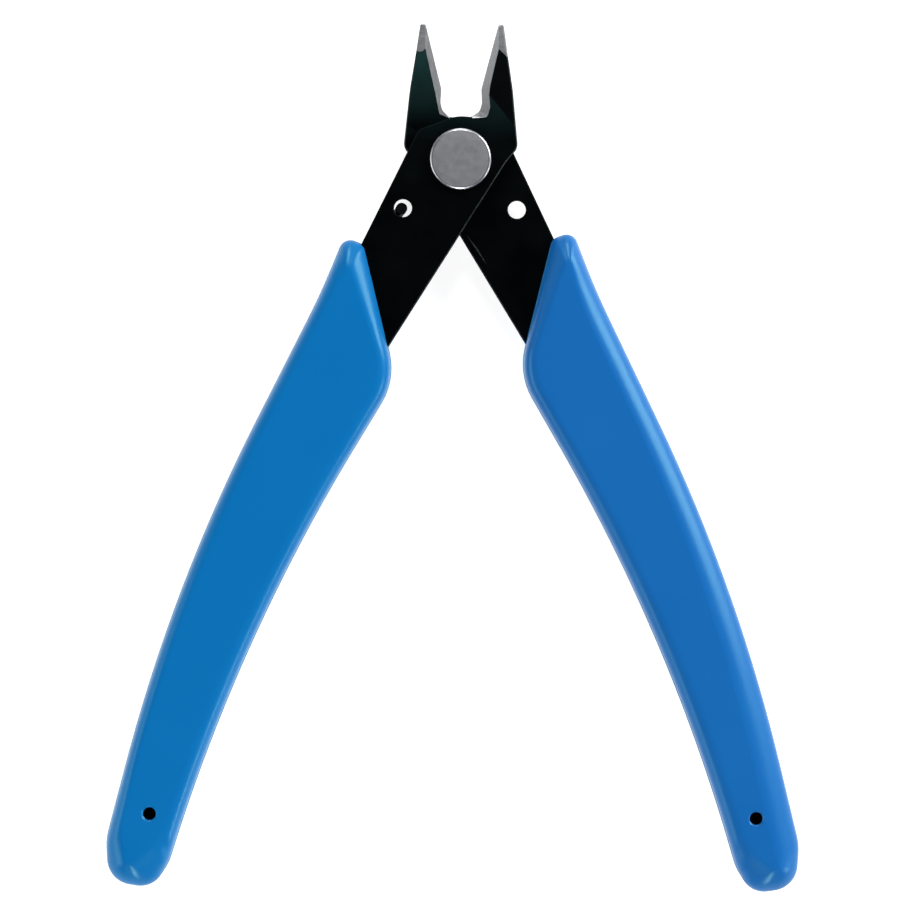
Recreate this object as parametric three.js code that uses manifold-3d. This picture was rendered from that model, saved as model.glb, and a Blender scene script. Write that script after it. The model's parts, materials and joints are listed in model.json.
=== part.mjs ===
// A pocket-size flush cutter for electronics work: two identical blackened-steel levers, one turned
// over on the other, a rivet through both, a moulded grip on each tang and a wire spring that opens them.
// Millimetres, +Z up. The tool lies flat on its grips with its jaws towards +Y, and its open outline is
// centred on the origin.

import * as THREE from 'three';
import { mergeVertices } from 'three/addons/utils/BufferGeometryUtils.js';
import Module from 'manifold-3d';

const wasm = await Module();
wasm.setup();

// The whole tool.
const OPEN_HALF_ANGLE = THREE.MathUtils.degToRad(16); // each lever's swing from its closed place
const PIVOT_Y = 41.5; // pivot ahead of the middle of the open tool
const GRIP_THICKNESS = 9.6;
const MID_HEIGHT = GRIP_THICKNESS / 2; // the plane between the two levers

// Lever plate.
const PLATE = 2.4;
const MATING_GAP = 0.1; // between the two levers' mating faces
const PLATE_LOW = MATING_GAP / 2;
const PLATE_HIGH = PLATE_LOW + PLATE;
const SPRING_HOLE = { x: -5.7, y: -8.82, radius: 1.25 };

// Ground faces of the jaw.
const CREASE = [new THREE.Vector2(1.6, 9.47), new THREE.Vector2(5.71, 6.8)]; // where the jaw starts to thin
const JAW_SLOPE = THREE.MathUtils.degToRad(9.5);
const EDGE_TIP = new THREE.Vector2(-0.29, 19.37); // the cutting edge, on the mating face
const EDGE_HEEL = new THREE.Vector2(-0.02, 10.22);
const EDGE_LAND = 0.15; // plate left unground at the cutting edge
const EDGE_BEVEL = THREE.MathUtils.degToRad(62); // bevel's steepness from the plate's face
const EDGE_BEVEL_BELOW_HEEL = 2.6;
const EDGE_BEVEL_PAST_TIP = 1;
const GRINDING_WIDTH = 24; // of the blocks that cut these faces, more than the jaw's own size

// Rivet.
const RIVET_SHANK = 2.5;
const RIVET_CLEARANCE = 0.1; // radial, in both levers
const RIVET_HEAD = 4.28;
const RIVET_HEAD_HEIGHT = 0.8;
const RIVET_CHAMFER = 0.3;
const RIVET_PLAY = 0.05; // under each head

// Grips.
const GRIP_EDGE = { inward: 1.2, down: 2.2 }; // how far the rounded edge reaches over each face
// Each grip's place up its arm and its length against the drawing: the two mouldings are not quite alike.
const GRIP_FIT = { left: { seat: -0.67, stretch: 0.9948 }, right: { seat: 0.65, stretch: 1.0052 } };
const TANG_CLEARANCE = 0.3;
const LOCATOR_HOLE = { x: -15.3, y: -99.2, radius: 0.9 };

// Return spring.
const WIRE = 0.7; // radius
const WIRE_LAYER = -(PLATE_LOW + PLATE / 2); // beside the rear lever's plate
const WIRE_TIP_HEIGHT = PLATE_HIGH - 0.5;
const COIL = { x: -6.0, y: -14.8, radius: 1.3 };
const FREE_LEG_ANGLE = THREE.MathUtils.degToRad(73);
const FREE_LEG_LENGTH = 8.0;

const CHORD_ERROR = 0.012; // how far a facet may lie off its arc
const HOLE_SIDES = 48;

// Outlines are corners [x, y, rounding radius] in a lever's own plane, for the front lever when closed:
// the pivot is at 0, 0, its jaw points to +Y on the +X side, and its arm runs down on the -X side.
const LEVER_CORNERS = [
  [-0.3, 19.42, 0.35], // tip
  [-0.02, 10.22, 0.3], // heel of the cutting edge
  [0.62, 8.3, 1.2], // relief behind the heel
  [0.62, 7.18, 0.9],
  [-0.25, 6.0, 0.5],
  [-2.2, 5.65, 5.8], // boss, round about the pivot
  [-6.75, 2.27, 1.5],
  [-19.0, -68, 240], // back of the arm and tang
  [-17.9, -105, 2],
  [-12.9, -105, 2],
  [-12.5, -72.2, 250],
  [-3.1, -31.4, 30],
  [6.2, 1.5, 6],
  [7.18, 3.75, 1.6], // shoulder
  [4.2, 11.3, 30], // back of the jaw
  [0.4, 19.62, 0.3],
];

const GRIP_CORNERS = [
  [-9.36, -14.62, 1.4], // top, at the back of the arm
  [-12.42, -14.36, 1.6],
  [-13.3, -23, 100],
  [-21.4, -68, 240], // long back
  [-20.15, -104.5, 8], // round end
  [-18.15, -110.05, 3.7],
  [-12.0, -109.2, 3.4],
  [-10.8, -105, 7],
  [-10.33, -72.2, 253], // belly
  [0.19, -31.4, 9.5], // bulge that stops the hand
];

// A closed outline through the corners, each rounded by an arc of its own radius.
function roundedOutline(corners) {
  const points = corners.flatMap(([x, y, radius], i) => {
    const corner = new THREE.Vector2(x, y);
    const before = new THREE.Vector2(...corners.at(i - 1)).sub(corner).normalize();
    const after = new THREE.Vector2(...corners[(i + 1) % corners.length]).sub(corner).normalize();
    const half = Math.acos(before.dot(after)) / 2;
    const centre = before.clone().add(after).normalize().multiplyScalar(radius / Math.sin(half)).add(corner);
    const reach = radius / Math.tan(half);
    const start = before.multiplyScalar(reach).add(corner).sub(centre);
    const end = after.multiplyScalar(reach).add(corner).sub(centre);
    const clockwise = start.cross(end) < 0;
    const arc = new THREE.EllipseCurve(
      centre.x, centre.y, radius, radius, start.angle(), end.angle(), clockwise);
    const chordAngle = 2 * Math.acos(1 - CHORD_ERROR / radius);
    return arc.getPoints(Math.ceil((Math.PI - 2 * half) / chordAngle));
  });
  return new THREE.Shape(points);
}

function roundHole({ x, y, radius }, low, high) {
  const hole = new THREE.CylinderGeometry(radius, radius, high - low, HOLE_SIDES);
  return hole.rotateX(Math.PI / 2).translate(x, y, (low + high) / 2);
}

function toSolid(geometry) {
  const bare = geometry.clone();
  bare.deleteAttribute('normal');
  bare.deleteAttribute('uv');
  const merged = mergeVertices(bare, 1e-4);
  return new wasm.Manifold(new wasm.Mesh({
    numProp: 3,
    vertProperties: merged.attributes.position.array,
    triVerts: new Uint32Array(merged.index.array),
  }));
}

function toGeometry(solid) {
  const mesh = solid.getMesh();
  const geometry = new THREE.BufferGeometry();
  geometry.setAttribute('position', new THREE.BufferAttribute(mesh.vertProperties, 3));
  geometry.setIndex(new THREE.BufferAttribute(mesh.triVerts, 1));
  geometry.computeVertexNormals();
  return geometry;
}

function cut(body, tools) {
  return toGeometry(tools.reduce((solid, tool) => solid.subtract(toSolid(tool)), toSolid(body)));
}

// A block whose lower face passes through the line from one point to another, at one height, and
// falls away on the line's left.
function grindingBlock(from, to, height, slope) {
  const along = to.clone().sub(from);
  const block = new THREE.BoxGeometry(along.length(), GRINDING_WIDTH, GRINDING_WIDTH);
  block.translate(along.length() / 2, 0, GRINDING_WIDTH / 2);
  block.rotateX(-slope);
  block.rotateZ(along.angle());
  return block.translate(from.x, from.y, height);
}

// The jaw's outer face thins towards the tip from the crease on.
function jawThinning() {
  const along = CREASE[1].clone().sub(CREASE[0]).normalize();
  const from = CREASE[0].clone().addScaledVector(along, -GRINDING_WIDTH / 2);
  const to = CREASE[1].clone().addScaledVector(along, GRINDING_WIDTH / 2);
  return grindingBlock(from, to, PLATE_HIGH, JAW_SLOPE);
}

// The bevel that meets the mating face at the cutting edge.
function edgeBevel() {
  const along = EDGE_HEEL.clone().sub(EDGE_TIP).normalize();
  const from = EDGE_HEEL.clone().addScaledVector(along, EDGE_BEVEL_BELOW_HEEL);
  const to = EDGE_TIP.clone().addScaledVector(along, -EDGE_BEVEL_PAST_TIP);
  return grindingBlock(from, to, PLATE_LOW + EDGE_LAND, EDGE_BEVEL);
}

function leverGeometry() {
  const plate = new THREE.ExtrudeGeometry(roundedOutline(LEVER_CORNERS), {
    depth: PLATE,
    bevelEnabled: false,
  });
  plate.translate(0, 0, PLATE_LOW);
  const pivotHole = { x: 0, y: 0, radius: RIVET_SHANK + RIVET_CLEARANCE };
  return cut(plate, [
    roundHole(pivotHole, PLATE_LOW - 1, PLATE_HIGH + 1),
    roundHole(SPRING_HOLE, PLATE_LOW - 1, PLATE_HIGH + 1),
    jawThinning(),
    edgeBevel(),
  ]);
}

// The lever grown by the clearance all round: the space a grip leaves for its tang.
function tangSpace() {
  const space = new THREE.ExtrudeGeometry(roundedOutline(LEVER_CORNERS), {
    depth: PLATE,
    bevelThickness: TANG_CLEARANCE,
    bevelSize: TANG_CLEARANCE,
    bevelSegments: 1,
  });
  return space.translate(0, 0, PLATE_LOW);
}

function gripGeometry({ seat, stretch }) {
  const corners = GRIP_CORNERS.map(([x, y, radius]) => [x, y * stretch + seat, radius]);
  const body = new THREE.ExtrudeGeometry(roundedOutline(corners), {
    depth: GRIP_THICKNESS - 2 * GRIP_EDGE.down,
    bevelThickness: GRIP_EDGE.down,
    bevelSize: GRIP_EDGE.inward,
    bevelOffset: -GRIP_EDGE.inward,
    bevelSegments: 4,
  });
  body.translate(0, 0, GRIP_EDGE.down - GRIP_THICKNESS / 2);
  const hole = { ...LOCATOR_HOLE, y: LOCATOR_HOLE.y * stretch + seat };
  const locator = roundHole(hole, -GRIP_THICKNESS, GRIP_THICKNESS);
  return cut(body, [tangSpace(), locator]);
}

function rivetGeometry() {
  const under = PLATE_HIGH + RIVET_PLAY;
  const top = under + RIVET_HEAD_HEIGHT;
  const upperHalf = [
    [RIVET_SHANK, under],
    [RIVET_HEAD, under],
    [RIVET_HEAD, top - RIVET_CHAMFER],
    [RIVET_HEAD - RIVET_CHAMFER, top],
    [0, top],
  ];
  const lowerHalf = upperHalf.map(([radius, height]) => [radius, -height]).reverse();
  const profile = [...lowerHalf, ...upperHalf].map((point) => new THREE.Vector2(...point));
  return new THREE.LatheGeometry(profile, 64).rotateX(Math.PI / 2);
}

// Up through the front lever's hole at one end, down the arm, round one open bend and back up to
// bear on the edge of the rear lever's arm.
function springPath() {
  const leg = new THREE.Vector2(Math.cos(FREE_LEG_ANGLE), Math.sin(FREE_LEG_ANGLE));
  const legFoot = new THREE.Vector2(COIL.x + COIL.radius * leg.y, COIL.y - COIL.radius * leg.x);
  const bend = [180, 220, 265, 310].map((degrees) => {
    const angle = THREE.MathUtils.degToRad(degrees);
    return [COIL.x + COIL.radius * Math.cos(angle), COIL.y + COIL.radius * Math.sin(angle), WIRE_LAYER];
  });
  const freeLeg = [0, 0.33, 0.66, 1].map((part) => {
    const point = legFoot.clone().addScaledVector(leg, part * FREE_LEG_LENGTH);
    return [point.x, point.y, WIRE_LAYER];
  });
  const [, , , [tipX, tipY]] = freeLeg;
  const route = [
    [SPRING_HOLE.x - 0.05, SPRING_HOLE.y - 0.05, WIRE_TIP_HEIGHT],
    [SPRING_HOLE.x - 0.15, SPRING_HOLE.y - 0.25, WIRE_TIP_HEIGHT - 1.6],
    [SPRING_HOLE.x - 0.55, SPRING_HOLE.y - 1.2, WIRE_LAYER],
    [SPRING_HOLE.x - 1.05, SPRING_HOLE.y - 3.4, WIRE_LAYER],
    ...bend,
    ...freeLeg,
    [tipX - 0.1, tipY + 1.3, WIRE_LAYER],
  ];
  return new THREE.CatmullRomCurve3(route.map((point) => new THREE.Vector3(...point)), false, 'centripetal');
}

function springGeometry() {
  const section = new THREE.Shape();
  section.absarc(0, 0, WIRE, 0, 2 * Math.PI);
  return new THREE.ExtrudeGeometry(section, { extrudePath: springPath(), steps: 64, curveSegments: 5 });
}

const blackenedSteel = new THREE.MeshStandardMaterial({ color: 0x0a0c0e, roughness: 0.45, metalness: 0.7 });
const brightSteel = new THREE.MeshStandardMaterial({ color: 0x9a9ea3, roughness: 0.3, metalness: 1 });
const springSteel = new THREE.MeshStandardMaterial({ color: 0x55585c, roughness: 0.3, metalness: 1 });
const blueVinyl = new THREE.MeshStandardMaterial({ color: 0x1470ba, roughness: 0.4, metalness: 0 });

function named(name, geometry, material) {
  const mesh = new THREE.Mesh(geometry, material);
  mesh.name = name;
  return mesh;
}

const lever = leverGeometry();

const frontHalf = new THREE.Group();
frontHalf.rotation.z = -OPEN_HALF_ANGLE;
frontHalf.add(named('front_lever', lever, blackenedSteel));
frontHalf.add(named('left_grip', gripGeometry(GRIP_FIT.left), blueVinyl));
frontHalf.add(named('return_spring', springGeometry(), springSteel));

// The same lever and grip, turned over about the tool's long axis.
const rearHalf = new THREE.Group();
rearHalf.rotation.set(0, Math.PI, OPEN_HALF_ANGLE, 'ZYX');
rearHalf.add(named('rear_lever', lever, blackenedSteel));
rearHalf.add(named('right_grip', gripGeometry(GRIP_FIT.right), blueVinyl));

const flushCutter = new THREE.Group();
flushCutter.position.set(0, PIVOT_Y, MID_HEIGHT);
flushCutter.add(frontHalf, rearHalf, named('pivot_rivet', rivetGeometry(), brightSteel));

export default flushCutter;
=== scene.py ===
"""The looks of a flush cutter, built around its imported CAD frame.

Shapes are worked out in millimetres in a lever's own place: the pivot at 0, 0, heights from the plane
between the two levers, the jaw towards +Y on the +X side. The rear half is the front half turned over.
"""

import json
import math

import bmesh
import bpy
from mathutils import Matrix, Vector
from mathutils.geometry import delaunay_2d_cdt


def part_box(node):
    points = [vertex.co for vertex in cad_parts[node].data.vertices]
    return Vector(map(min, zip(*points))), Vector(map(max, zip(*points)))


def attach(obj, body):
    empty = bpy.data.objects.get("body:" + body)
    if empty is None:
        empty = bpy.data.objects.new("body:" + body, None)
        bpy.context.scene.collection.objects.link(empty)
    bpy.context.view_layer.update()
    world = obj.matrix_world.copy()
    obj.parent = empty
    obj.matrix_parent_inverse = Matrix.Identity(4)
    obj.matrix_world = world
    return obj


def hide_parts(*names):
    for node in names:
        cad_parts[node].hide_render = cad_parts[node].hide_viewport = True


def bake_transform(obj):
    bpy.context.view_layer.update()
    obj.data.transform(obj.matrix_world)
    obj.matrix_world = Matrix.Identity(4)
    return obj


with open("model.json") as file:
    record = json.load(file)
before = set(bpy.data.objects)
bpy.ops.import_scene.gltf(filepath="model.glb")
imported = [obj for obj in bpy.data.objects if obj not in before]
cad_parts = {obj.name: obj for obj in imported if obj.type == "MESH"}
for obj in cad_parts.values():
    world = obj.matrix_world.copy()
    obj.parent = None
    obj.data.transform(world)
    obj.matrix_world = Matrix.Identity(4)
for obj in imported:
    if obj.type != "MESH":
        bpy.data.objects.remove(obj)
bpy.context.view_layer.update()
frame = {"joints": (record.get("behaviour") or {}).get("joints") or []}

MM = 0.001

# What the frame says.
JOINT = frame["joints"][0]
PIVOT = Vector(JOINT["pos_m"])
HALF_OPEN = math.radians(JOINT["range_deg"][1] / 2)
PLATE_LOW, PLATE_HIGH = ((corner.z - PIVOT.z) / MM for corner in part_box("front_lever"))
GRIP_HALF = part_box("left_grip")[1].z / MM - PIVOT.z / MM
FRONT_PLACE = Matrix.Translation(PIVOT) @ Matrix.Rotation(-HALF_OPEN, 4, "Z")
REAR_PLACE = (Matrix.Translation(PIVOT) @ Matrix.Rotation(HALF_OPEN, 4, "Z")
              @ Matrix.Rotation(math.pi, 4, "Y"))

# Lever: corners are (x, y, rounding radius), anticlockwise. A radius of 0 marks where a line meets the edge.
CREASE = (Vector((1.60, 9.47)), Vector((5.71, 6.80)))  # where the outer face starts to thin
TIP_LINE = (Vector((0.70, 16.20)), Vector((2.15, 15.56)))  # where the tip is ground thinner still
THINNING_SLOPE = math.tan(math.radians(9.5))
TIP_SLOPE = math.tan(math.radians(9.0))  # on top of the thinning
EDGE_BREAK = 0.16  # chamfer round the plate and its holes
CUTTING_LAND = 0.15  # plate left unground at the cutting edge
RELIEF = 0.14  # how far the mating face falls away beside the ground strip
RELIEF_START = Vector((1.1, 6.0))  # where the relief starts, away from the strip and up the jaw
RELIEF_RUN = Vector((3.0, 4.0))  # and how far on it is full

LEVER_CORNERS = [
    (0.40, 19.62, 0.3),  # tip
    (-0.30, 19.42, 0.35),
    (-0.20, 16.45, 0),  # level with the ground tip's lower end
    (-0.02, 10.22, 0.3),  # heel of the cutting edge
    (0.13, 9.70, 0),  # level with the crease
    (0.62, 8.30, 1.2),  # relief behind the heel
    (0.62, 7.18, 0.9),
    (-0.25, 6.00, 0.5),
    (-2.20, 5.65, 5.8),  # boss, round about the pivot
    (-6.75, 2.27, 1.5),
    (-19.0, -68.0, 240),  # back of the arm and tang
    (-17.9, -105.0, 2),
    (-12.9, -105.0, 2),
    (-12.5, -72.2, 250),
    (-3.1, -31.4, 30),
    (6.20, 1.50, 6),
    (7.18, 3.75, 1.6),  # shoulder
    (6.06, 6.59, 0),  # end of the crease
    (4.20, 11.30, 30),  # back of the jaw
    (2.25, 15.50, 0),  # end of the ground tip's lower line, on the outer face
    (1.93, 16.20, 0),  # and on the mating face
]
# Inner border of the bevel that meets the cutting edge, on the outer face: one corner for each of
# the lever's corners 1 to 6.
BEVEL_BORDER = [
    (-0.13, 19.19, 0.08),
    (0.70, 16.20, 0),
    (1.02, 10.90, 5),
    (1.24, 9.70, 0),
    (1.90, 8.05, 1.2),
    (1.90, 6.60, 0.6),
]
# The same for the ground strip on the mating face.
STRIP_BORDER = [
    (-0.13, 19.19, 0.08),
    (0.62, 16.20, 0),
    (0.90, 10.70, 8),
    (0.94, 9.70, 0),
    (1.08, 8.00, 2),
    (1.15, 6.88, 0.35),
]
# The lever's corners by number: where the crease and the tip's lower lines meet the cutting edge and the
# back of the jaw, and which corners each kind of surface runs along.
TIP_FRONT, CREASE_FRONT = 2, 4
CREASE_BACK, OUTER_TIP_BACK, MATING_TIP_BACK = 17, 19, 20
GROUND_CORNERS = set(range(1, 7))
OUTER_TIP_CORNERS = {19, 20, 0}
MATING_TIP_CORNERS = {20, 0}
WORN_CORNERS = set(range(14, 20))  # the inner edge of the arm, the shoulder and the back of the jaw
TIP_SCALLOP_SAG = 0.25
TIP_ZONE = [Vector((4, 25)), Vector((-4, 25))]  # closes the scallop's line to an area past the tip
TIP_ZONE_LOW = 15  # everything of the ground tip lies above this Y

SPRING_HOLE = (Vector((-5.7, -8.82)), 1.25)
PIVOT_HOLE = (Vector((0, 0)), 2.6)
SCUFF = [Vector((1.98, -10.36)), Vector((1.24, -12.6)), Vector((0.35, -15.18)), Vector((1.02, -12.5))]

# Rivet head.
RIVET_SHANK = 2.5
RIVET_HEAD = 4.28
RIVET_TOP = PLATE_HIGH + 0.85
RIVET_ROUNDING = 0.37
RIVET_RIM_STEPS = 6
RIVET_CLEARANCE = 0.05  # between a head's underside and the plate
RIVET_INNER_RING = 0.5  # share of the head's radius where the flat face is split

# Grips.
GRIP_SEATS = {"left": -0.67, "right": 0.65}  # each one's place up its arm
GRIP_STRETCHES = {"left": 0.9948, "right": 1.0052}  # the two mouldings differ a little in length
GRIP_CORNERS = [
    (-9.36, -14.62, 1.4),  # top, at the back of the arm
    (-12.42, -14.36, 1.6),
    (-13.3, -23.0, 100),
    (-21.4, -68.0, 240),  # long back
    (-20.15, -104.5, 8),  # round end
    (-18.15, -110.05, 3.7),
    (-12.0, -109.2, 3.4),
    (-10.8, -105.0, 7),
    (-10.33, -72.2, 253),  # belly
    (0.19, -31.4, 9.5),  # bulge that stops the hand
]
# How far the rounding reaches over each face, for the edge that follows each corner: the moulding's
# upper face is crisper along its back than the lower one.
UPPER_ROUNDING = [3.9, 1.8, 1.7, 1.7, 2.4, 2.5, 2.4, 2.4, 2.2, 1.7]
LOWER_ROUNDING = [3.9, 2.3, 3.3, 3.8, 3.4, 2.5, 2.4, 2.4, 2.2, 1.8]
# The flat faces' own corners at the top and the round end, where they run to a point.
FACE_POINT = {0: (-10.3, -18.55, 0.15), 1: (-10.82, -18.5, 0.15), 5: (-16.55, -106.6, 0.2),
              6: (-15.9, -106.75, 0.2), 7: (-13.35, -102.6, 4)}
ROUNDING_DROP = 2.6  # how far down the side the rounding reaches
# The rounding's profile at each corner: 2 is an ellipse, more is squarer, 1 would be a chamfer.
UPPER_FULLNESS = [1.5, 1.5, 2.3, 2.3, 1.8, 1.5, 1.5, 1.8, 2.3, 2.3]
LOWER_FULLNESS = [1.5, 1.5, 1.65, 1.65, 1.6, 1.5, 1.5, 1.8, 2.3, 2.3]
ROUNDING_STEPS = 12
FLASH = 0.1  # the moulding's parting line stands this proud
FLASH_HALF_HEIGHT = 0.14
FLASH_FOOT = 1.5  # its foot is this many times as high as its crest
LOCATOR_HOLE = (Vector((-15.3, -99.2)), 0.9)
LOCATOR_LIP = (0.22, 0.2)  # width and depth of the hole's countersunk lip

# Spring wire, from its hooked end in the front lever's hole round the open bend to its free end.
WIRE_RADIUS = 0.7
HOOK_SWELL = 1.14  # the cropped end is upset a little
WIRE_LAYER = -(PLATE_LOW + PLATE_HIGH) / 2  # beside the rear lever's plate
WIRE_TIP_HEIGHT = PLATE_HIGH - 0.5
HOOK_ROUTE = [  # from the middle of the hole
    (-0.17, -0.08, WIRE_TIP_HEIGHT),
    (-0.25, -0.28, WIRE_TIP_HEIGHT - 1.6),
    (-0.55, -1.2, WIRE_LAYER),
    (-1.05, -3.4, WIRE_LAYER),
]
BEND = (Vector((-6.0, -14.8)), 1.3)
BEND_ANGLES = range(180, 320, 20)  # in degrees
FREE_LEG_ANGLE = math.radians(73)
FREE_LEG_LENGTH = 8.0
FREE_LEG_STEPS = 8
FREE_LEG_TURN = Vector((-0.1, 1.3))  # the last bit of wire, past the straight leg

# How finely shapes are drawn.
ARC_TURN = math.radians(7)  # largest turn from one piece of an arc to the next
ARC_SPACING = 3.0  # longest piece of an arc
GRIP_SPACING = 1.0  # longest piece of a grip's outline
NEARLY_STRAIGHT = 0.2  # sine of the turn below which a corner is moved by the mean of its two widths
LEAST_ARC = 0.05  # share of its radius that a corner keeps at least when it is inset
ARC_ROOM = 0.97  # share of an edge that the arcs at its two ends may use
HOLE_SIDES = 72
SAME_POINT = 1e-3  # vertices closer than this are welded
TOO_SHORT = 1e-4  # edges shorter than this are dissolved

# Edges that turn by more degrees than this are shaded sharp.
LEVER_SHARP, RIVET_SHARP, GRIP_SHARP, WIRE_SHARP = 12, 35, 30, 50


# --- Outlines ---------------------------------------------------------------------------------------

def arc_steps(corners):
    """How many pieces each corner's arc is drawn in. An outline and its insets share them."""
    steps = []
    for i, (x, y, radius) in enumerate(corners):
        here = Vector((x, y))
        before = Vector(corners[i - 1][:2]) - here
        after = Vector(corners[(i + 1) % len(corners)][:2]) - here
        turn = math.pi - before.angle(after)
        pieces = math.ceil(max(turn / ARC_TURN, turn * radius / ARC_SPACING))
        steps.append(max(2, pieces) if radius else 0)
    return steps


def rounded(corners, steps):
    """The outline's points. A corner with no steps is a single point."""
    points = []
    for i, (x, y, radius) in enumerate(corners):
        here = Vector((x, y))
        if steps[i] == 0:
            points.append(here)
            continue
        before = (Vector(corners[i - 1][:2]) - here).normalized()
        after = (Vector(corners[(i + 1) % len(corners)][:2]) - here).normalized()
        half = before.angle(after) / 2
        centre = here + (before + after).normalized() * radius / math.sin(half)
        start = here + before * radius / math.tan(half) - centre
        turn = (math.pi - 2 * half) * (1 if start.y * before.x > start.x * before.y else -1)
        for k in range(steps[i] + 1):
            points.append(centre + rotated(start, turn * k / steps[i]))
    return points


def rotated(vector, angle):
    cos, sin = math.cos(angle), math.sin(angle)
    return Vector((vector.x * cos - vector.y * sin, vector.x * sin + vector.y * cos))


def inset(corners, widths):
    """The corners with each edge moved inwards. widths[i] is the width for the edge after corner i."""
    moved = []
    for i, (x, y, radius) in enumerate(corners):
        here = Vector((x, y))
        into = (here - Vector(corners[i - 1][:2])).normalized()
        out = (Vector(corners[(i + 1) % len(corners)][:2]) - here).normalized()
        normal_before, normal_after = Vector((-into.y, into.x)), Vector((-out.y, out.x))
        turn = into.x * out.y - into.y * out.x
        width_before, width_after = widths[i - 1], widths[i]
        middle = (width_before + width_after) / 2
        if abs(turn) < NEARLY_STRAIGHT:
            shift = (normal_before + normal_after).normalized() * middle
        else:
            shift = (out * width_before - into * width_after) / turn
        smaller = max(radius - middle, radius * LEAST_ARC) if turn > 0 else radius + middle
        moved.append((here.x + shift.x, here.y + shift.y, smaller))
    return moved


def fitted(corners):
    """The corners with smaller radii wherever two neighbours' arcs would overlap."""
    lengths, reaches = [], []
    for i, (x, y, radius) in enumerate(corners):
        here = Vector((x, y))
        before = Vector(corners[i - 1][:2]) - here
        after = Vector(corners[(i + 1) % len(corners)][:2]) - here
        lengths.append(after.length)
        reaches.append(radius / math.tan(before.angle(after) / 2))
    next_reaches = reaches[1:] + reaches[:1]
    room = [ARC_ROOM * length / (a + b) for length, a, b in zip(lengths, reaches, next_reaches)]
    return [(x, y, radius * min(1, room[i - 1], room[i])) for i, (x, y, radius) in enumerate(corners)]


def divided(values, counts):
    """A loop's values with each step split evenly into its own number of parts."""
    return [a + (b - a) * k / count for a, b, count in zip(values, values[1:] + values[:1], counts)
            for k in range(count)]


def circle(centre, radius):
    angles = [2 * math.pi * k / HOLE_SIDES for k in range(HOLE_SIDES)]
    return [centre + Vector((math.cos(a), math.sin(a))) * radius for a in angles]


# --- Meshes -----------------------------------------------------------------------------------------

def raised(points, heights):
    """2-D points at their heights: one number for all, a list, or a function of the point."""
    if callable(heights):
        return [Vector((p.x, p.y, heights(p))) for p in points]
    if not isinstance(heights, list):
        heights = [heights] * len(points)
    return [Vector((p.x, p.y, z)) for p, z in zip(points, heights)]


def add_face(bm, points, material=0):
    """A face with its own vertices; to_object welds them to their neighbours."""
    face = bm.faces.new([bm.verts.new(p) for p in points])
    face.material_index = material


def loft(bm, rings, material_of=lambda i: 0):
    """Four-sided faces between each ring and the next. material_of gives each place round them its own."""
    for low, high in zip(rings, rings[1:]):
        for i in range(len(low)):
            j = (i + 1) % len(low)
            add_face(bm, [low[i], low[j], high[j], high[i]], material_of(i))


def fill(bm, outline, holes, lines, height, material_of=lambda point: 0):
    """A face inside the outline, outside the holes, split along the lines."""
    points, edges = [], []
    for loop in [outline, *holes]:
        first = len(points)
        points += loop
        edges += [(first + i, first + (i + 1) % len(loop)) for i in range(len(loop))]
    for line in lines:
        first = len(points)
        points += line
        edges += [(first + i, first + i + 1) for i in range(len(line) - 1)]
    corners, _, triangles, *_ = delaunay_2d_cdt(points, edges, [], 1, TOO_SHORT)
    for triangle in triangles:
        middle = sum((corners[k] for k in triangle), Vector((0, 0))) / 3
        if not any(inside(middle, hole) for hole in holes):
            add_face(bm, raised([corners[k] for k in triangle], height), material_of(middle))


def inside(point, loop):
    crossings = 0
    for a, b in zip(loop, loop[1:] + loop[:1]):
        if (a.y > point.y) != (b.y > point.y):
            crossings += point.x < a.x + (point.y - a.y) * (b.x - a.x) / (b.y - a.y)
    return crossings % 2 == 1


def to_object(bm, name, materials, place, sharp_degrees):
    """Closes the mesh, scales it to metres and puts it in its place."""
    bmesh.ops.remove_doubles(bm, verts=bm.verts, dist=SAME_POINT)
    bmesh.ops.dissolve_degenerate(bm, dist=TOO_SHORT, edges=bm.edges)
    bmesh.ops.triangulate(bm, faces=bm.faces, quad_method="SHORT_EDGE")
    bmesh.ops.recalc_face_normals(bm, faces=bm.faces)
    bm.transform(place @ Matrix.Scale(MM, 4))
    mesh = bpy.data.meshes.new(name)
    bm.to_mesh(mesh)
    bm.free()
    for material in materials:
        mesh.materials.append(material)
    mesh.shade_smooth()
    mesh.set_sharp_from_angle(angle=math.radians(sharp_degrees))
    obj = bpy.data.objects.new(name, mesh)
    bpy.context.scene.collection.objects.link(obj)
    weighted = obj.modifiers.new("weighted_normals", "WEIGHTED_NORMAL")
    weighted.keep_sharp = True
    return obj


# --- Materials --------------------------------------------------------------------------------------

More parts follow.
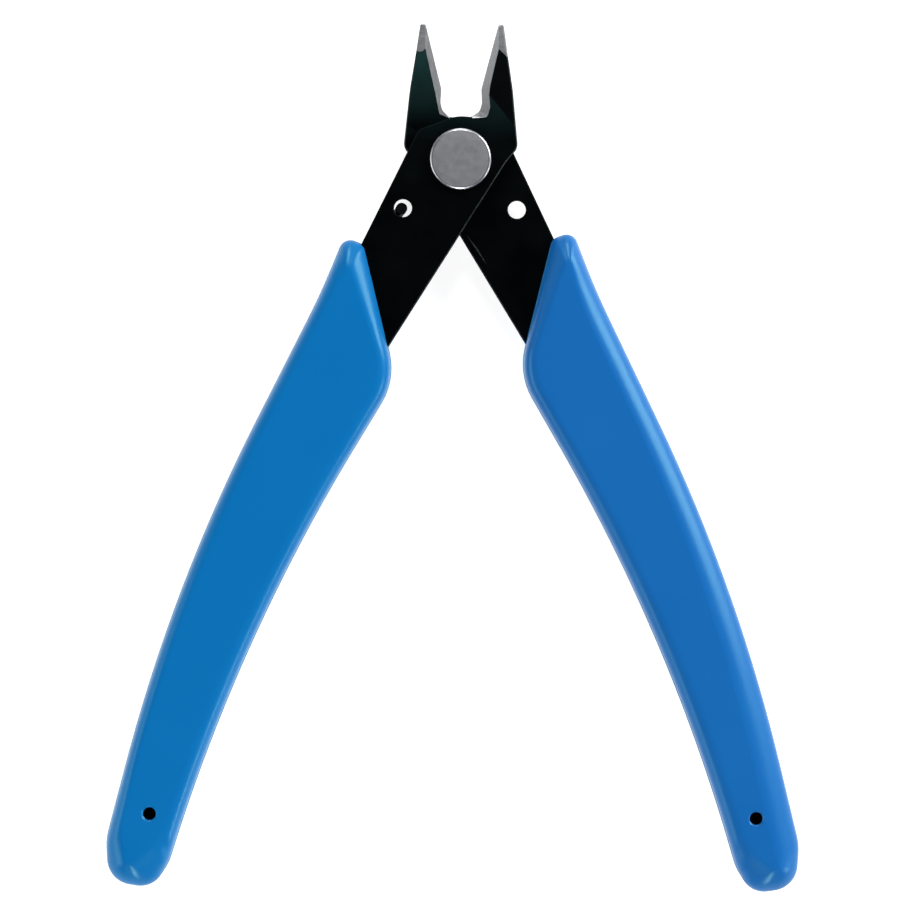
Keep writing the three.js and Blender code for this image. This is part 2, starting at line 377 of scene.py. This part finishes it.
class Finish:
    """A material with a Principled shader, and what is needed to drive it from patterns."""

    def __init__(self, name, **values):
        self.material = bpy.data.materials.new(name)
        self.material.use_nodes = True
        self.tree = self.material.node_tree
        self.shader = self.tree.nodes["Principled BSDF"]
        for socket, value in values.items():
            self.shader.inputs[socket.replace("_", " ")].default_value = value
        self.place = self.tree.nodes.new("ShaderNodeTexCoord").outputs["Object"]

    def node(self, kind, inputs, **settings):
        node = self.tree.nodes.new(kind)
        for name, value in settings.items():
            setattr(node, name, value)
        for name, value in inputs.items():
            self.feed(node.inputs[name], value)
        return node

    def feed(self, socket, value):
        if isinstance(value, bpy.types.NodeSocket):
            self.tree.links.new(value, socket)
        else:
            socket.default_value = value

    def stretched(self, scale, turn):
        """The object's own coordinates, turned about Z and scaled along each axis."""
        turned = self.node("ShaderNodeMapping", {"Vector": self.place, "Rotation": (0, 0, turn)})
        return self.node("ShaderNodeMapping", {"Vector": turned.outputs[0], "Scale": scale}).outputs[0]

    def noise(self, size_mm, detail, coordinates=None):
        """Noise from 0 to 1 with features of about that size."""
        pattern = self.node("ShaderNodeTexNoise", {"Scale": 1000 / size_mm, "Detail": detail,
                                                   "Vector": coordinates or self.place})
        return pattern.outputs["Fac"]

    def ranged(self, value, low, high, to_low, to_high):
        spread = self.node("ShaderNodeMapRange", {"Value": value, "From Min": low, "From Max": high,
                                                  "To Min": to_low, "To Max": to_high})
        return spread.outputs["Result"]

    def mixed(self, factor, first, second):
        mix = self.node("ShaderNodeMix", {0: factor, 6: first, 7: second}, data_type="RGBA")
        return mix.outputs[2]

    def combined(self, operation, first, second):
        return self.node("ShaderNodeMath", {0: first, 1: second}, operation=operation).outputs[0]

    def drive(self, socket, value):
        self.feed(self.shader.inputs[socket], value)

    def bump(self, height, distance_mm, strength):
        relief = self.node("ShaderNodeBump", {"Height": height, "Distance": distance_mm * MM,
                                              "Strength": strength})
        self.drive("Normal", relief.outputs[0])


def colour(red, green, blue):
    return (red, green, blue, 1.0)


# Base colours: the two ends of each material's pattern.
BLACK_OXIDE, PALE_OXIDE = colour(0.0002, 0.0005, 0.0007), colour(0.0085, 0.0265, 0.0265)
WORN_COLOURS = colour(0.004, 0.007, 0.007), colour(0.035, 0.045, 0.045)
# The ground bevel's colours are painted shade: darker, because its steep slope catches the lights. The
# ground land's are painted light: paler, because it lies flat under the dark top of the tent.
BEVEL_COLOURS = colour(0.18, 0.188, 0.196), colour(0.26, 0.268, 0.278)
LAND_COLOURS = colour(0.52, 0.53, 0.55), colour(0.64, 0.65, 0.67)
TIP_COLOURS = colour(0.11, 0.112, 0.118), colour(0.20, 0.203, 0.212)
MATING_TIP_COLOURS = colour(0.33, 0.34, 0.355), colour(0.50, 0.51, 0.53)
SCUFF_COLOURS = colour(0.035, 0.055, 0.055), colour(0.09, 0.12, 0.12)
RIVET_COLOURS = colour(0.35, 0.36, 0.385), colour(0.425, 0.435, 0.46)
RIM_COLOURS = colour(0.37, 0.38, 0.41), colour(0.43, 0.44, 0.47)
WIRE_COLOURS = colour(0.001, 0.0012, 0.0014), colour(0.004, 0.0045, 0.005)
VINYL_COLOURS = {
    "left": (colour(0.0015, 0.117, 0.345), colour(0.002, 0.128, 0.366)),
    "right": (colour(0.0055, 0.097, 0.328), colour(0.0065, 0.108, 0.348)),
}
FLOOR_COLOURS = colour(0.48, 0.48, 0.48), colour(0.52, 0.52, 0.52)
JAW_WIDTHWAYS = math.pi / 2  # grinding lines across the jaw
# Paling towards the jaw: where it starts and where it is full, in mm up the jaw from the pivot, and its
# strength.
BOSS_PALING = (2.5, 9.0, 0.35)
# On the jaw's mating face this is painted shade: darker near the boss, whose step shades it, and paler
# towards the tip.
MATING_PAINTED_SHADE = (4.5, 15.0, 1.0)


def blackened(name, pale_start=None, pale_end=None, paleness=0.0):
    """Black oxide, paler in patches between two distances up from the pivot; on the jaw's mating face this
    paling is painted shade, darker near the boss.
    """
    finish = Finish(name, Roughness=0.42, Specular_IOR_Level=0.03)
    cloud = finish.noise(5.0, 4.0)
    grain = finish.noise(0.12, 2.0)
    tone = finish.mixed(finish.ranged(cloud, 0.35, 0.75, 0.0, 0.03), BLACK_OXIDE, PALE_OXIDE)
    if pale_start is not None:
        along = finish.node("ShaderNodeSeparateXYZ", {0: finish.place}).outputs["Y"]
        fade = finish.ranged(along, PIVOT.y + pale_start * MM, PIVOT.y + pale_end * MM, 0.0, paleness)
        patches = finish.ranged(finish.noise(3.0, 3.0), 0.3, 0.7, 0.75, 1.1)
        patchy = finish.combined("MULTIPLY", fade, patches)
        tone = finish.mixed(patchy, tone, PALE_OXIDE)
    finish.drive("Base Color", tone)
    finish.drive("Roughness", finish.ranged(cloud, 0.3, 0.7, 0.36, 0.5))
    finish.bump(grain, 0.01, 0.25)
    return finish.material


def ground(name, colours, lines_turn=0.0):
    """Bare ground steel with fine grinding lines, turned by an angle, and a little speckle."""
    finish = Finish(name, Metallic=1.0, Roughness=0.42)
    lines = finish.noise(1.0, 3.0, finish.stretched((1, 14, 1), lines_turn))
    speckle = finish.noise(0.35, 2.0)
    shade = finish.combined("MULTIPLY", lines, finish.ranged(speckle, 0.25, 0.75, 0.8, 1.2))
    finish.drive("Base Color", finish.mixed(finish.ranged(shade, 0.3, 0.7, 0.0, 1.0), *colours))
    finish.drive("Roughness", finish.ranged(lines, 0.3, 0.7, 0.34, 0.5))
    finish.bump(lines, 0.02, 0.5)
    return finish.material


def satin_rivet():
    finish = Finish("rivet_steel", Metallic=1.0, Roughness=0.4)
    mottle = finish.noise(0.9, 5.0)
    grain = finish.noise(0.14, 2.0)
    shade = finish.ranged(finish.combined("ADD", mottle, grain), 0.7, 1.3, 0.0, 1.0)
    finish.drive("Base Color", finish.mixed(shade, *RIVET_COLOURS))
    finish.drive("Roughness", finish.ranged(mottle, 0.3, 0.7, 0.43, 0.47))
    finish.bump(grain, 0.006, 0.5)
    return finish.material


def bright_rim():
    """The rivet's rolled-over edge, smoother than its face."""
    finish = Finish("rivet_rim", Metallic=1.0)
    grain = finish.noise(0.2, 2.0)
    finish.drive("Base Color", finish.mixed(grain, *RIM_COLOURS))
    finish.drive("Roughness", finish.ranged(grain, 0.3, 0.7, 0.29, 0.35))
    return finish.material


def drawn_wire():
    finish = Finish("spring_steel", Specular_IOR_Level=0.03)
    draw_lines = finish.noise(0.3, 2.0)
    finish.drive("Base Color", finish.mixed(draw_lines, *WIRE_COLOURS))
    finish.drive("Roughness", finish.ranged(draw_lines, 0.3, 0.7, 0.4, 0.55))
    return finish.material


def vinyl(side):
    """Moulded vinyl: an even colour with a faint cloudiness and a fine orange peel."""
    finish = Finish("vinyl_" + side, Specular_IOR_Level=0.36, IOR=1.46, Specular_Tint=colour(0.45, 1.0, 0.8),
                    Sheen_Weight=0.3, Sheen_Roughness=0.3, Sheen_Tint=colour(0.1, 0.75, 1.0))
    cloud = finish.noise(9.0, 2.0)
    pores = finish.noise(0.5, 3.0)
    finish.drive("Base Color", finish.mixed(cloud, *VINYL_COLOURS[side]))
    finish.drive("Roughness", finish.ranged(cloud, 0.0, 1.0, 0.26, 0.34))
    finish.bump(pores, 0.01, 0.12)
    return finish.material


def matte_floor():
    finish = Finish("floor", Roughness=0.9, Specular_IOR_Level=0.1, Emission_Strength=0.75,
                    Emission_Color=colour(1, 1, 1))
    fibre = finish.noise(2.0, 2.0)
    finish.drive("Base Color", finish.mixed(fibre, *FLOOR_COLOURS))
    return finish.material


# --- Pieces -----------------------------------------------------------------------------------------

def beyond(line, point):
    """How far the point lies past the line, on its tip side."""
    along = (line[1] - line[0]).normalized()
    return (point - line[0]).dot(Vector((-along.y, along.x)))


def outer_height(point):
    thinned = max(0.0, beyond(CREASE, point)) * THINNING_SLOPE
    tip = max(0.0, beyond(TIP_LINE, point)) * TIP_SLOPE
    return PLATE_HIGH - thinned - tip


def mating_height(point):
    """The mating face falls away gently beside the ground strip, from the boss to the tip."""
    from_strip = min(max((point.x - RELIEF_START.x) / RELIEF_RUN.x, 0.0), 1.0)
    up_the_jaw = min(max((point.y - RELIEF_START.y) / RELIEF_RUN.y, 0.0), 1.0)
    return PLATE_LOW + RELIEF * up_the_jaw * from_strip


# The lever's material slots, in the order of make_levers' list.
BLACK, EDGE, BEVEL, LAND, TIP, MATING_TIP, THINNED, PAINTED_SHADE_JAW, SCUFFED = range(9)


def lever_mesh():
    """One lever, in a lever's own place. Both halves of the tool have the same one."""
    steps = arc_steps(LEVER_CORNERS)
    outline = rounded(LEVER_CORNERS, steps)
    owners = [i for i, count in enumerate(steps) for _ in range(count + 1)]
    ground_here = [owner in GROUND_CORNERS for owner in owners]
    breaks = inset(LEVER_CORNERS, [EDGE_BREAK] * len(LEVER_CORNERS))
    past_ground = max(GROUND_CORNERS) + 1
    outer = rounded(breaks[:1] + BEVEL_BORDER + breaks[past_ground:], steps)
    mating = rounded(breaks[:1] + STRIP_BORDER + breaks[past_ground:], steps)

    high = [PLATE_LOW + CUTTING_LAND if cut else outer_height(p) - EDGE_BREAK
            for p, cut in zip(outline, ground_here)]
    low = [PLATE_LOW if cut else mating_height(p) + EDGE_BREAK for p, cut in zip(outline, ground_here)]

    def border(tip, ground_slot, worn_slot):
        """The slots round a narrow band that follows the outline."""
        def slot_at(i):
            corners = {owners[i], owners[(i + 1) % len(owners)]}
            if corners <= tip:
                return TIP
            if corners & GROUND_CORNERS:
                return ground_slot
            return worn_slot if corners <= WORN_CORNERS else BLACK
        return slot_at

    bm = bmesh.new()
    side_low, side_high = raised(outline, low), raised(outline, high)
    loft(bm, [raised(mating, mating_height), side_low], border(MATING_TIP_CORNERS, LAND, EDGE))
    loft(bm, [side_low, side_high], border(MATING_TIP_CORNERS, BEVEL, BLACK))
    loft(bm, [side_high, raised(outer, outer_height)], border(OUTER_TIP_CORNERS, BEVEL, EDGE))

    holes = [circle(centre, radius + EDGE_BREAK) for centre, radius in (SPRING_HOLE, PIVOT_HOLE)]
    for (centre, radius), rim in zip((SPRING_HOLE, PIVOT_HOLE), holes):
        bore = circle(centre, radius)
        loft(bm, [raised(rim, PLATE_LOW), raised(bore, PLATE_LOW + EDGE_BREAK),
                  raised(bore, PLATE_HIGH - EDGE_BREAK), raised(rim, PLATE_HIGH)])

    def at(loop, corner):
        return loop[owners.index(corner)]

    crease = [at(outer, CREASE_FRONT), at(outer, CREASE_BACK)]
    tip_line = [at(outer, TIP_FRONT), at(outer, OUTER_TIP_BACK)]
    fill(bm, outer, holes, [crease, tip_line], outer_height, outer_slot)
    scallop = bowed(at(mating, TIP_FRONT), at(mating, MATING_TIP_BACK), TIP_SCALLOP_SAG)
    below = [at(mating, CREASE_FRONT), at(mating, CREASE_BACK)]
    fill(bm, mating, holes, [scallop, below, SCUFF + SCUFF[:1]], mating_height,
         lambda point: mating_slot(point, scallop))
    return bm


def outer_slot(point):
    if beyond(TIP_LINE, point) > 0:
        return TIP
    return THINNED if beyond(CREASE, point) > 0 else BLACK


def mating_slot(point, scallop):
    if point.y > TIP_ZONE_LOW and inside(point, scallop + TIP_ZONE):
        return MATING_TIP
    if inside(point, SCUFF):
        return SCUFFED
    return PAINTED_SHADE_JAW if point.y > MATING_PAINTED_SHADE[0] else BLACK


def bowed(start, end, sag, pieces=8):
    """Points from start to end along a parabola that sags towards the pivot."""
    share = [k / pieces for k in range(pieces + 1)]
    return [start.lerp(end, t) + Vector((0, -4 * sag * t * (1 - t))) for t in share]


def make_levers():
    materials = [
        blackened("black_oxide", *BOSS_PALING),
        ground("worn_edge", WORN_COLOURS),
        # painted shade on the ground bevel, painted light on the ground land
        ground("ground_bevel", BEVEL_COLOURS, JAW_WIDTHWAYS),
        ground("ground_land", LAND_COLOURS, JAW_WIDTHWAYS),
        ground("ground_tip", TIP_COLOURS),
        ground("mating_tip", MATING_TIP_COLOURS),
        blackened("thinned_jaw"),
        # the jaw's mating face, with painted shade: darker near the boss, paler towards the tip
        blackened("jaw_painted_shade", *MATING_PAINTED_SHADE),
        ground("scuff", SCUFF_COLOURS),
    ]
    for name, node, body, place in (("lever_front", "front_lever", "front_half", FRONT_PLACE),
                                    ("lever_rear", "rear_lever", "rear_half", REAR_PLACE)):
        lever = to_object(lever_mesh(), name, materials, place, LEVER_SHARP)
        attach(lever, body)
        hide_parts(node)


def make_rivet():
    """A turned rivet: flat heads with a rounded rim over a plain shank."""
    rim = []
    for k in range(RIVET_RIM_STEPS + 1):
        angle = math.pi / 2 * k / RIVET_RIM_STEPS
        rim.append((RIVET_HEAD - RIVET_ROUNDING * (1 - math.cos(angle)),
                    RIVET_TOP - RIVET_ROUNDING * (1 - math.sin(angle))))
    under = PLATE_HIGH + RIVET_CLEARANCE
    profile = [(RIVET_SHANK, under), (RIVET_HEAD, under), *rim, (RIVET_HEAD * RIVET_INNER_RING, RIVET_TOP)]
    profile = [(radius, -height) for radius, height in reversed(profile)] + profile
    bm = bmesh.new()
    rings = [raised(circle(Vector((0, 0)), radius), height) for radius, height in profile]
    loft(bm, rings[:2])
    loft(bm, rings[1:-1], lambda i: 1)  # slot 1 is the bright rim
    loft(bm, rings[-2:])
    add_face(bm, rings[0])
    add_face(bm, rings[-1])
    rivet = to_object(bm, "rivet", [satin_rivet(), bright_rim()], FRONT_PLACE, RIVET_SHARP)
    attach(rivet, "front_half")
    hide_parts("pivot_rivet")


def rounding(outline, face, powers, towards):
    """Rings from the outline over the rounded edge to the flat face's border, up (1) or down (-1)."""
    rings = []
    for k in range(ROUNDING_STEPS + 1):
        angle = math.pi / 2 * k / ROUNDING_STEPS
        cos, sin = max(math.cos(angle), 0), math.sin(angle)
        points = [a.lerp(b, 1 - cos ** power) for a, b, power in zip(outline, face, powers)]
        heights = [towards * (GRIP_HALF - ROUNDING_DROP * (1 - sin ** power)) for power in powers]
        rings.append(raised(points, heights))
    return rings


def make_grip(side, body, place):
    """One grip: flat faces, rounded edges, a parting line at half height and the locator hole."""
    seat, stretch = GRIP_SEATS[side], GRIP_STRETCHES[side]
    corners = [(x, y * stretch + seat, radius) for x, y, radius in GRIP_CORNERS]
    wall_corners = inset(corners, [FLASH] * len(corners))
    face_corners = [inset(wall_corners, widths) for widths in (UPPER_ROUNDING, LOWER_ROUNDING)]
    for i, (x, y, radius) in FACE_POINT.items():
        for face in face_corners:
            face[i] = (x, y * stretch + seat, radius)
    face_corners = [fitted(face) for face in face_corners]
    steps = arc_steps(corners)
    powers = [[2 / full for full, count in zip(fullness, steps) for _ in range(count + 1)]
              for fullness in (UPPER_FULLNESS, LOWER_FULLNESS)]
    loops = [rounded(loop, steps) for loop in (corners, wall_corners, *face_corners)]
    ahead = loops[0][1:] + loops[0][:1]
    spans = [math.ceil((b - a).length / GRIP_SPACING) for a, b in zip(loops[0], ahead)]
    flash, wall, upper_face, lower_face, upper_powers, lower_powers = (
        divided(loop, spans) for loop in (*loops, *powers))
    lower_rings = rounding(wall, lower_face, lower_powers, -1)[::-1]
    upper_rings = rounding(wall, upper_face, upper_powers, 1)
    parting = [raised(wall, -FLASH_HALF_HEIGHT * FLASH_FOOT), raised(flash, -FLASH_HALF_HEIGHT),
               raised(flash, FLASH_HALF_HEIGHT), raised(wall, FLASH_HALF_HEIGHT * FLASH_FOOT)]
    bm = bmesh.new()
    loft(bm, [*lower_rings, *parting, *upper_rings])

    centre, radius = LOCATOR_HOLE
    centre = Vector((centre.x, centre.y * stretch + seat))
    lip_width, lip_depth = LOCATOR_LIP
    rim, bore = circle(centre, radius + lip_width), circle(centre, radius)
    loft(bm, [raised(rim, -GRIP_HALF), raised(bore, -GRIP_HALF + lip_depth),
              raised(bore, GRIP_HALF - lip_depth), raised(rim, GRIP_HALF)])
    fill(bm, lower_face, [rim], [], -GRIP_HALF)
    fill(bm, upper_face, [rim], [], GRIP_HALF)
    grip = to_object(bm, "grip_" + side, [vinyl(side)], place, GRIP_SHARP)
    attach(grip, body)
    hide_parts(side + "_grip")


def make_spring():
    """The spring: a round wire swept along a curve, which is then turned into a mesh and removed."""
    leg = Vector((math.cos(FREE_LEG_ANGLE), math.sin(FREE_LEG_ANGLE)))
    centre, radius = BEND
    leg_foot = centre + Vector((leg.y, -leg.x)) * radius
    bend = [centre + Vector((math.cos(math.radians(a)), math.sin(math.radians(a)))) * radius
            for a in BEND_ANGLES]
    free_leg = [leg_foot + leg * FREE_LEG_LENGTH * k / FREE_LEG_STEPS for k in range(FREE_LEG_STEPS + 1)]
    hole = SPRING_HOLE[0]
    route = [*(Vector((hole.x + x, hole.y + y, z)) for x, y, z in HOOK_ROUTE),
             *raised([*bend, *free_leg, free_leg[-1] + FREE_LEG_TURN], WIRE_LAYER)]
    curve = bpy.data.curves.new("wire_route", "CURVE")
    curve.dimensions = "3D"
    curve.bevel_depth = WIRE_RADIUS
    curve.bevel_resolution = 6
    curve.resolution_u = 4
    curve.use_fill_caps = True
    spline = curve.splines.new("BEZIER")
    spline.bezier_points.add(len(route) - 1)
    for knot, point in zip(spline.bezier_points, route):
        knot.co = point
        knot.handle_left_type = knot.handle_right_type = "AUTO"
    spline.bezier_points[0].radius = HOOK_SWELL
    spline.bezier_points[1].radius = HOOK_SWELL
    route_object = bpy.data.objects.new("wire_route", curve)
    bpy.context.scene.collection.objects.link(route_object)
    bm = bmesh.new()
    bm.from_mesh(bpy.data.meshes.new_from_object(route_object))
    bpy.data.objects.remove(route_object)
    spring = to_object(bm, "spring", [drawn_wire()], FRONT_PLACE, WIRE_SHARP)
    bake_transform(spring)
    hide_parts("return_spring")


make_levers()
make_rivet()
make_grip("left", "front_half", FRONT_PLACE)
make_grip("right", "rear_half", REAR_PLACE)
make_spring()


# --- Studio -----------------------------------------------------------------------------------------

FLOOR_SIZE = 3.0
FLOOR_HEIGHT = -0.05 * MM  # just clear of the grips' undersides
PHOTO_WIDTH = 0.1265  # what the picture spans at the tool's middle height
CAMERA_HEIGHT = 1.5
CAMERA_AIM = (-0.0003, 0.0004)
CAMERA_ROLL = math.radians(0.65)
# The tent's greys and where they are: the sine of the elevation, 0 at the horizon and 1 straight above.
TENT_LOW = (0.3, colour(0.55, 0.55, 0.55))
TENT_MIDDLE = (0.55, colour(0.3, 0.3, 0.3))
TENT_HIGH = (0.93, colour(0.12, 0.12, 0.12))
TENT_STRENGTH = 0.5


def make_floor():
    bm = bmesh.new()
    half = FLOOR_SIZE / 2
    add_face(bm, [Vector((x, y, FLOOR_HEIGHT))
                  for x, y in ((-half, -half), (half, -half), (half, half), (-half, half))])
    mesh = bpy.data.meshes.new("floor")
    bm.to_mesh(mesh)
    bm.free()
    mesh.materials.append(matte_floor())
    floor = bpy.data.objects.new("floor", mesh)
    bpy.context.scene.collection.objects.link(floor)


def make_light(name, azimuth, elevation, distance, size, power):
    """A soft box that faces the tool from an azimuth (0 is +X, 90 is +Y) and an elevation in degrees."""
    data = bpy.data.lights.new(name, "AREA")
    data.shape = "RECTANGLE"
    data.size, data.size_y = size
    data.energy = power
    light = bpy.data.objects.new(name, data)
    a, e = math.radians(azimuth), math.radians(elevation)
    towards = Vector((math.cos(a) * math.cos(e), math.sin(a) * math.cos(e), math.sin(e)))
    light.location = towards * distance
    light.rotation_euler = towards.to_track_quat("Z", "Y").to_euler()
    bpy.context.scene.collection.objects.link(light)


def make_world():
    """A light tent: bright low down, dark straight above where the camera looks in."""
    world = bpy.data.worlds.new("tent")
    world.use_nodes = True
    nodes, links = world.node_tree.nodes, world.node_tree.links
    place = nodes.new("ShaderNodeTexCoord")
    split = nodes.new("ShaderNodeSeparateXYZ")
    ramp = nodes.new("ShaderNodeValToRGB")
    stops = ramp.color_ramp.elements
    stops[0].position, stops[0].color = TENT_LOW
    stops[1].position, stops[1].color = TENT_HIGH
    stops.new(TENT_MIDDLE[0]).color = TENT_MIDDLE[1]
    links.new(place.outputs["Generated"], split.inputs[0])
    links.new(split.outputs["Z"], ramp.inputs[0])
    links.new(ramp.outputs[0], nodes["Background"].inputs["Color"])
    nodes["Background"].inputs["Strength"].default_value = TENT_STRENGTH
    bpy.context.scene.world = world


def make_camera():
    data = bpy.data.cameras.new("camera")
    data.lens = data.sensor_width * (CAMERA_HEIGHT - PIVOT.z) / PHOTO_WIDTH
    camera = bpy.data.objects.new("camera", data)
    camera.location = (*CAMERA_AIM, CAMERA_HEIGHT)
    camera.rotation_euler = (0, 0, CAMERA_ROLL)
    bpy.context.scene.collection.objects.link(camera)
    bpy.context.scene.camera = camera


make_floor()
make_world()
make_light("north_east_box", 33, 20, 0.6, (0.38, 0.35), 4.2)
make_light("east_strip", -20, 16, 0.6, (0.2, 0.12), 0.9)
make_light("west_box", 190, 22, 0.6, (0.5, 0.3), 1.6)
make_light("north_strip", 91, 34, 0.6, (0.12, 0.45), 2.4)
make_light("south_strip", -92, 34, 0.6, (0.12, 0.45), 2.4)
make_camera()
bpy.context.scene.view_settings.view_transform = "Standard"
